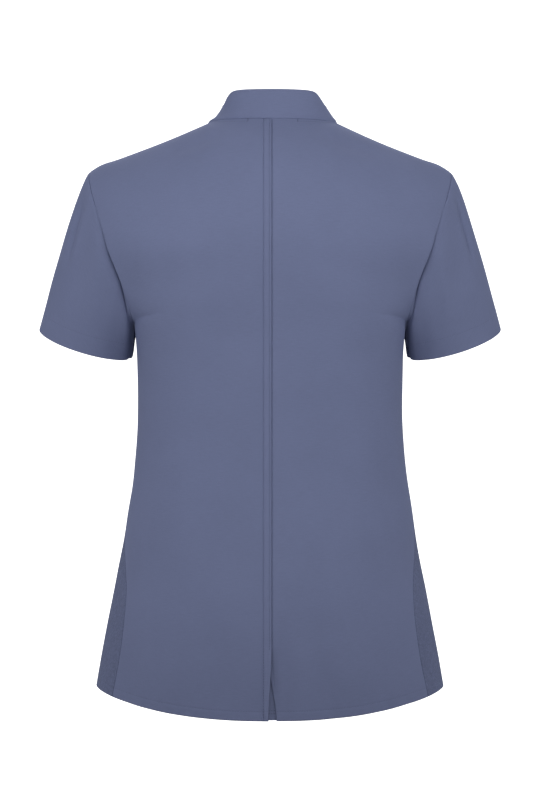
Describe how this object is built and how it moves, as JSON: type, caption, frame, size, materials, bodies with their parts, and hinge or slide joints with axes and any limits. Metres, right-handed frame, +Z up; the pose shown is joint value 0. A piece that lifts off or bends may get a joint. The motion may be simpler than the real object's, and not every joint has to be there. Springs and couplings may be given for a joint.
{
  "type": "scrub top",
  "caption": "Women's short-sleeved scrub top with a stand collar running into a V neck, knitted side panels, a centre back seam and a back vent at a curved hem.",
  "frame": {"origin": "on the body's middle plane, level with the two side neck points and between the shoulder seams, where the worn garment hangs on the wearer's shoulders", "axes": "+Z up, +Y towards the wearer's front, +X towards the wearer's right, so the back in the picture faces -Y"},
  "size_m": [0.5576, 0.2986, 0.7356],
  "materials": {
    "woven": "smooth fine-woven slate-blue uniform cloth with a slight soft sheen",
    "knit": "matt stretch knit with a fine mottled texture, a little darker than the woven cloth"
  },
  "bodies": {
    "root": {"back_left": "woven", "back_right": "woven", "front": "woven", "side_left": "knit", "side_right": "knit", "sleeve_left": "woven", "sleeve_right": "woven", "collar": "woven", "vent_underlap": "woven"}
  },
  "joints": []
}
